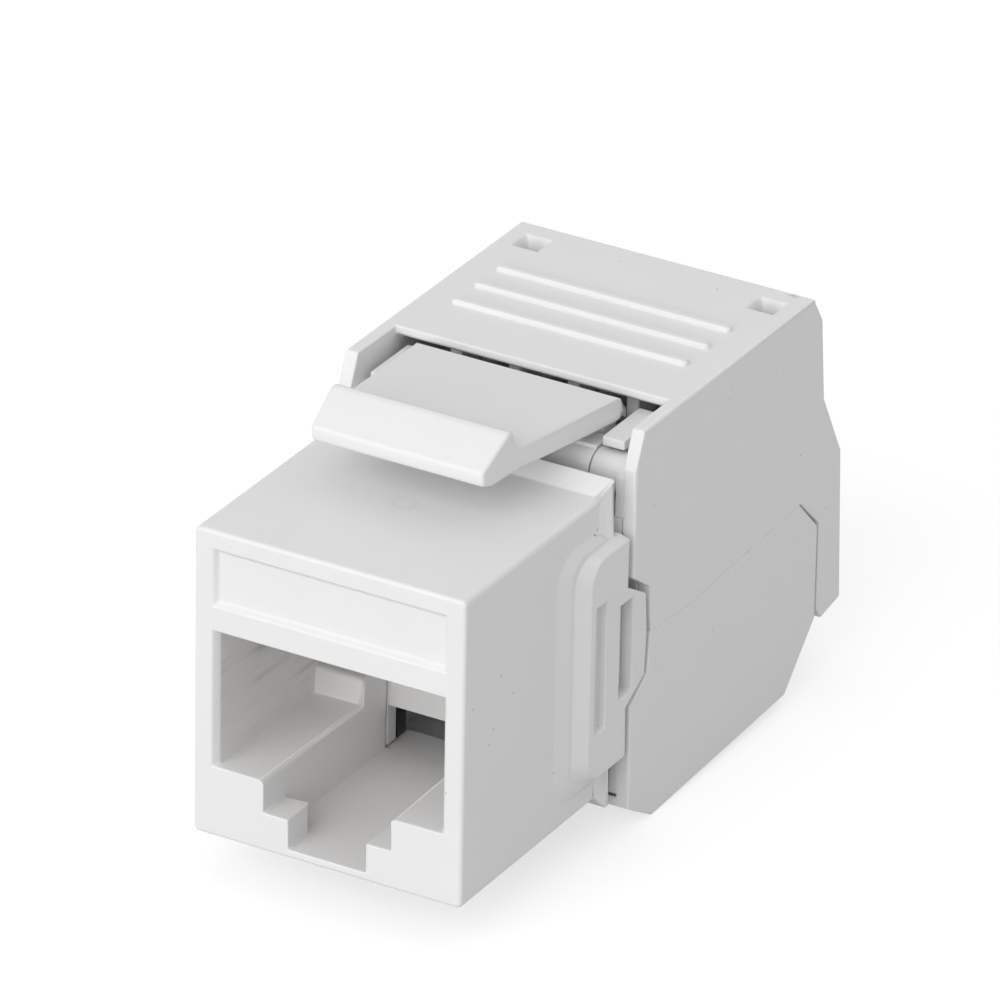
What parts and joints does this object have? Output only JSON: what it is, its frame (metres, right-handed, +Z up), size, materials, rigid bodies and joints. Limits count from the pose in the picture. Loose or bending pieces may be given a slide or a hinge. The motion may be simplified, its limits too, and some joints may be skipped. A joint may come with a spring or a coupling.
{
  "type": "keystone jack",
  "caption": "White keystone jack with a modular port in front, a latch arm on top and two hinged wire covers behind.",
  "frame": {"origin": "middle of the lower edge of the front block's face, in the plane of the face", "axes": "+Y back from the front face towards the cable, +X to the right seen from the front, +Z up towards the latch arm"},
  "size_m": [0.0162, 0.0348, 0.0229],
  "materials": {
    "housing_white": "satin moulded white",
    "carrier_white": "satin moulded white",
    "rear_white": "satin moulded white",
    "cover_white": "satin moulded white",
    "latch_white": "satin moulded white",
    "board_black": "black solder mask",
    "spring_gold": "gold plated",
    "blade_bronze": "tinned bronze"
  },
  "bodies": {
    "jack": {"front_housing": "housing_white", "contact_carrier": "carrier_white", "contact_spring_1": "spring_gold", "contact_spring_2": "spring_gold", "contact_spring_3": "spring_gold", "contact_spring_4": "spring_gold", "contact_spring_5": "spring_gold", "contact_spring_6": "spring_gold", "contact_spring_7": "spring_gold", "contact_spring_8": "spring_gold", "circuit_board": "board_black", "rear_housing": "rear_white", "wire_contact_1": "blade_bronze", "wire_contact_2": "blade_bronze", "wire_contact_3": "blade_bronze", "wire_contact_4": "blade_bronze", "wire_contact_5": "blade_bronze", "wire_contact_6": "blade_bronze", "wire_contact_7": "blade_bronze", "wire_contact_8": "blade_bronze"},
    "upper_cover": {"upper_cover": "cover_white"},
    "lower_cover": {"lower_cover": "cover_white"},
    "latch": {"latch_arm": "latch_white"}
  },
  "joints": [
    {"name": "upper_cover_hinge", "type": "hinge", "parent": "jack", "child": "upper_cover", "pos_m": [0, 0.01535, 0.0159], "axis": [1, 0, 0], "range_deg": [0, 55]},
    {"name": "lower_cover_hinge", "type": "hinge", "parent": "jack", "child": "lower_cover", "pos_m": [0, 0.01535, -0.0001], "axis": [1, 0, 0], "range_deg": [-55, 0]},
    {"name": "latch_bend", "type": "hinge", "parent": "jack", "child": "latch", "pos_m": [0, 0.0173, 0.0163], "axis": [1, 0, 0], "range_deg": [0, 10], "stiffness_Nm_per_rad": 0.05}
  ],
  "couplings": [
    {"joint": "lower_cover_hinge", "follows": "upper_cover_hinge", "ratio": -1}
  ]
}
